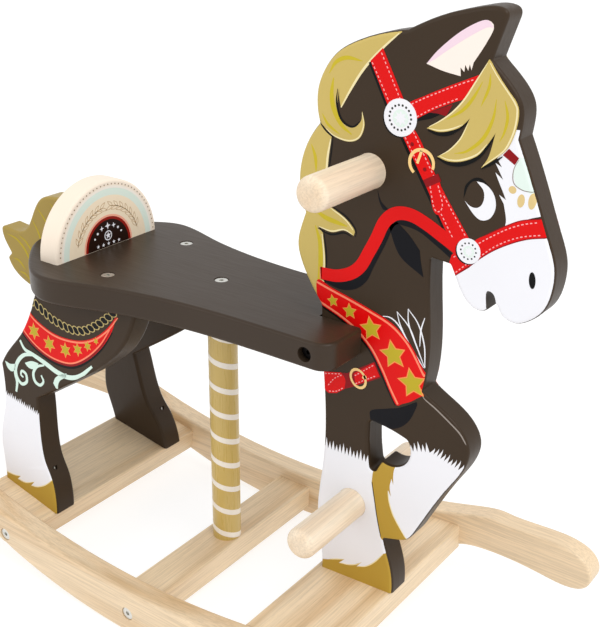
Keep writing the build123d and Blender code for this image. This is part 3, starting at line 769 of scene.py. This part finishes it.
haunch = Face("haunch_right", "haunch_board_right", on_haunch, out_normal, mirror="haunch_left")
CLOTH_UP = [(-172, 272), (-155, 252.5), (-134, 243), (-112, 239.5), (-86, 242.5), (-66, 251), (-50, 264),
            (-38, 279)]
CLOTH_LO = [(-184, 244), (-165, 228), (-148, 218), (-127, 212), (-106, 211.6), (-90, 216), (-72, 228),
            (-56, 244), (-44, 262)]
haunch.add("black", 1, band(CLOTH_LO, 3.4, 0.4, shift=-0.8))
haunch.add("red", 2, outline(CLOTH_UP, CLOTH_LO[::-1]))
haunch.add("dark_red", 3, band(CLOTH_LO, 2.4, 0.2, shift=1.2))
haunch.add("salmon", 4, band(CLOTH_UP, 1.8, 0.6, shift=-2.0), band(CLOTH_LO, 1.6, 0.6, shift=3.0))
for cx, cz, size, tilt in ((-150, 235, 9.0, 6), (-128, 227.8, 9.0, 12), (-105.4, 227.6, 8.2, 4),
                           (-88.4, 232.8, 7.0, 8),
                           (-75.2, 240, 5.6, 0), (-64, 248, 3.8, 10)):
    haunch.add("star_edge", 5, star(cx, cz, size, tilt, 6, 0.5))
    haunch.add("star", 6, star(cx, cz, size * 0.8, tilt, 6, 0.5))
ROPE = smooth([(-153, 265.5), (-141, 261), (-127, 255), (-110, 251.6), (-95, 250.8), (-80, 254),
               (-66, 262), (-53, 271.4),
               (-40, 283)], 1.0)
LINK_TILT, LINK_STEP = 48, 7        # each link leans over the rope's line, one per 7 points of it
for i in range(0, len(ROPE) - 1, LINK_STEP):
    way = ROPE[i + 1] - ROPE[i]
    tilt = LINK_TILT + degrees(atan2(way.y, way.x))
    layer = 3 if i % 2 else 5
    haunch.add("black", layer, ellipse(*ROPE[i], 3.3, 5.7, tilt))
    haunch.add("rope", layer + 1, *ring(*ROPE[i], 5.7, 4.5, tilt, 0.60))
haunch.add("mint", 4,
           band([(-171, 220), (-164, 212.4), (-152, 210), (-134, 206), (-117, 201.6), (-100, 201),
                 (-85, 207), (-69, 221)], 5.0, 0.45),
           band([(-152, 209.6), (-165, 206), (-175, 196), (-178.6, 184), (-176, 174), (-177.5, 163)], 4.4,
                0.5),
           outline([(-178, 193), (-186, 190.6), (-194, 191.6)],
                   [(-190.5, 185.6), (-184, 183), (-177.4, 187)], [(-178, 193)]),
           outline([(-144, 203), (-154, 202.6), (-164, 198)], [(-159, 194.6), (-152, 194.6), (-147, 198)],
                   [(-144, 203)]),
           outline([(-104, 204), (-112, 200.6), (-119.4, 195), (-122.4, 188.6)], [(-117, 182.6)],
                   [(-113.6, 193), (-104, 200)], [(-104, 204)]))
haunch.add("mint", 5,
           band([(-177.4, 190), (-176, 180), (-169, 174), (-161.4, 178.6), (-162.6, 186.4), (-168.6, 188),
                 (-170, 183.4), (-166.4, 182)], 3.4, 0.45),
           band([(-135.6, 203.4), (-146, 199), (-151.4, 190.6), (-149, 182.6), (-141.6, 180.6),
                 (-136.6, 186), (-140, 191.6)], 3.4, 0.45))
haunch.add("hoof", 1, polygon((-215, 40), (-100, 40), (-100, 84), (-215, 84)))
haunch.add("white", 2,
           outline([(-212, 158)], *[[p] for p in saw((-205, 156), (-140, 146), 24, 6.5)], [(-120, 148)],
                   [(-108, 92)],
                   [(-122, 84), (-134, 73), (-146, 66.6), (-156, 64.8)], [(-151, 71)],
                   [(-164, 65), (-177, 65.2)], [(-172, 70)],
                   [(-184, 67.4), (-212, 68)]))
haunch.add("cream", 3, band([(-122.6, 84), (-134.4, 73.4), (-146, 67.2), (-155, 65.4)], 1.1, 0.4),
           band([(-176, 65.8), (-164, 65.6), (-152, 70.4)], 1.1, 0.3),
           band([(-172.6, 69.8), (-184, 68), (-200, 68.2)], 1.1, 0.3))
haunch.build()

# ---- the tail
tail_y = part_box("tail")[0][1]
tail = Face("tail_right", "tail", lambda x, z: Vector((x * MM, tail_y, z * MM)), (0, -1, 0),
            mirror="tail_left",
            slot="gold_painted_wood")
tail.add("tail_yellow", 1,
         band([(-254, 297), (-240, 294.6), (-228, 286), (-220, 272), (-216, 258)], 2.6, 0),
         band([(-236, 299.6), (-224, 294), (-214, 281), (-208, 264)], 2.2, 0),
         band([(-247, 272), (-238, 270), (-229, 262)], 2.2, 0),
         band([(-240, 258), (-230, 257), (-220, 249)], 2.0, 0),
         band([(-212, 322), (-203, 308), (-198, 290), (-196, 270)], 2.4, 0),
         band([(-202, 336), (-190, 322), (-184, 302), (-182, 280)], 2.6, 0),
         band([(-182, 344), (-170, 334), (-162, 320)], 2.4, 0))
tail.build()

# ---- the backrest
rest_low, rest_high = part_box("backrest")
rest_front, rest_z = rest_high[0], rest_low[2] / MM
rest = Face("backrest_front", "backrest", lambda y, z: Vector((rest_front, y * MM, rest_z * MM + z * MM)),
            (1, 0, 0),
            slot="cream_painted_wood")


def half_ring(outer, inner, count=48):
    """The upper half of a ring, or of a disc where inner is 0, just clear of the seat."""
    arc = [pi * i / count for i in range(count + 1)]
    edge = [Vector((outer * cos(a), outer * sin(a) + 0.3)) for a in arc]
    if inner == 0:
        return edge
    return edge + [Vector((inner * cos(a), inner * sin(a) + 0.3)) for a in reversed(arc)]


rest.add("dot", 1, *[ellipse(62.6 * cos(a), 62.6 * sin(a), 0.75, count=10)
                     for a in [pi * (i + 0.7) / 41 for i in range(40)]])
rest.add("ring_white", 1, half_ring(60.4, 58.2))
rest.add("ring_mint", 1, half_ring(58.2, 51.4))
rest.add("disc_cream", 1, half_ring(51.4, 31.0))
rest.add("ring_pink", 2, half_ring(32.2, 30.2))
rest.add("ring_red", 2, half_ring(30.2, 27.4))
rest.add("disc_black", 2, half_ring(27.4, 0))
LAUREL = 41.0
for way in (1, -1):
    rest.add("laurel", 2, band([(way * LAUREL * cos(a), LAUREL * sin(a)) for a in
                                [radians(14 + 6 * i) for i in range(12)]], 0.7))
    for i in range(7):
        a = radians(16 + 10.4 * i)
        for lean, size in ((0.5, 1.3), (-0.5, 1.15)):
            base = Vector((LAUREL * cos(a), LAUREL * sin(a)))
            ahead = Vector((-sin(a + lean), cos(a + lean)))
            across = Vector((-ahead.y, ahead.x))
            leaf = [base, base + ahead * 3.4 * size + across * 1.5, base + ahead * 7.4 * size,
                    base + ahead * 3.4 * size - across * 1.5]
            rest.add("laurel", 2, *[band([Vector((p.x * way, p.y)) for p in smooth(part, 0.8)], 0.5,
                    curve=False)
                                    for part in ((leaf[0], leaf[1], leaf[2]), (leaf[2], leaf[3], leaf[0]))])
rest.add("white", 3, star(0, 21.6, 3.8, 0, 4, 0.38), star(8.0, 20.4, 2.8, 0, 4, 0.38),
         star(-8.0, 20.4, 2.8, 0, 4, 0.38),
         ellipse(13.6, 16.6, 1.3, count=14), ellipse(-13.6, 16.6, 1.3, count=14),
         ellipse(17.6, 12.0, 1.1, count=14),
         ellipse(-17.6, 12.0, 1.1, count=14), *ring(0, 11.6, 5.0, 4.0), star(0, 11.6, 3.6, 0, 5, 0.45),
         *[star(x, 3.4, 2.1, 0, 5, 0.45) for x in (-14, -7, 0, 7, 14)])
rest.build()

# ---- the white helix round the pole
pole_low, pole_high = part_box("centre_pole")
pole_x, pole_r = (pole_low[0] + pole_high[0]) / 2, (pole_high[0] - pole_low[0]) / 2
stripe_low, stripe_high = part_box("middle_bar")[1][2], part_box("seat")[0][2]
HELIX_PITCH, HELIX_WIDTH, HELIX_START = 26.8 * MM, 5.8 * MM, 3.9 * MM
helix = bmesh.new()
STEPS = 56
turns = (stripe_high - stripe_low) / HELIX_PITCH + 2
rows = []
for i in range(int(turns * STEPS)):
    a = -2 * pi * i / STEPS
    middle = stripe_low - HELIX_PITCH + HELIX_START + HELIX_PITCH * i / STEPS
    low = min(max(middle - HELIX_WIDTH / 2, stripe_low), stripe_high)
    high = min(max(middle + HELIX_WIDTH / 2, stripe_low), stripe_high)
    if high - low < 0.1 * MM:
        continue
    rows.append([helix.verts.new((pole_x + r * cos(a), r * sin(a), z))
                 for r, z in ((pole_r + 0.12 * MM, low), (pole_r + 0.12 * MM, high),
                              (pole_r - 0.4 * MM, high), (pole_r - 0.4 * MM, low))])
for a, b in zip(rows, rows[1:]):
    for k in range(4):
        helix.faces.new((a[k], a[(k + 1) % 4], b[(k + 1) % 4], b[k]))
helix.faces.new(rows[0])
helix.faces.new(rows[-1][::-1])
bmesh.ops.recalc_face_normals(helix, faces=helix.faces)
helix_mesh = bpy.data.meshes.new("pole_stripe")
helix.to_mesh(helix_mesh)
helix.free()
finish_piece("pole_stripe", helix_mesh, PAINTS["ring_white"])

# ---------------------------------------------------------------- floor, light and camera
stage_mesh = bpy.data.meshes.new("floor")
FLOOR = 6.0
stage_mesh.from_pydata([(-FLOOR, -FLOOR, 0), (FLOOR, -FLOOR, 0), (FLOOR, FLOOR, 0), (-FLOOR, FLOOR, 0)],
                       [], [(0, 1, 2, 3)])
floor = bpy.data.objects.new("floor", stage_mesh)
floor_mat, _, floor_shader = new_material("floor", (0.35, 0.35, 0.35, 1.0), 0.9)
floor_shader.inputs["Emission Color"].default_value = (1, 1, 1, 1)
floor_shader.inputs["Emission Strength"].default_value = 0.72
stage_mesh.materials.append(floor_mat)
bpy.context.scene.collection.objects.link(floor)

world = bpy.data.worlds.new("studio")
world.use_nodes = True
world.node_tree.nodes["Background"].inputs["Color"].default_value = (1, 1, 1, 1)
world.node_tree.nodes["Background"].inputs["Strength"].default_value = 0.95
bpy.context.scene.world = world


def area_light(name, place, target, size, power):
    """A round soft light at a place, turned to a target."""
    light = bpy.data.lights.new(name, "AREA")
    light.shape, light.size, light.energy = "DISK", size, power
    obj = bpy.data.objects.new(name, light)
    obj.location = place
    obj.rotation_euler = (Vector(target) - Vector(place)).to_track_quat("-Z", "Y").to_euler()
    bpy.context.scene.collection.objects.link(obj)


area_light("key", (1.6, -0.4, 2.4), (0, 0, 0.25), 1.6, 28)
area_light("fill", (-1.6, -2.0, 1.6), (0, 0, 0.3), 1.8, 10)

AZIMUTH, ELEVATION, ROLL = radians(36.143), radians(23.499), radians(0.498)
CAMERA_AT = Vector((0.6269, -0.69535, 0.6741))
LENS = 61.9
back = Vector((sin(AZIMUTH) * cos(ELEVATION), -cos(AZIMUTH) * cos(ELEVATION), sin(ELEVATION)))
right = (-back).cross(Vector((0, 0, 1))).normalized()
up = right.cross(-back)
turned_right = right * cos(ROLL) + up * sin(ROLL)
turned_up = up * cos(ROLL) - right * sin(ROLL)
camera_data = bpy.data.cameras.new("camera")
camera_data.lens, camera_data.sensor_width, camera_data.sensor_fit = LENS, 36, "AUTO"
camera = bpy.data.objects.new("camera", camera_data)
rotation = Matrix((turned_right, turned_up, back)).transposed().to_4x4()
camera.matrix_world = Matrix.Translation(CAMERA_AT) @ rotation
bpy.context.scene.collection.objects.link(camera)
bpy.context.scene.camera = camera
bpy.context.scene.view_settings.view_transform = "Standard"
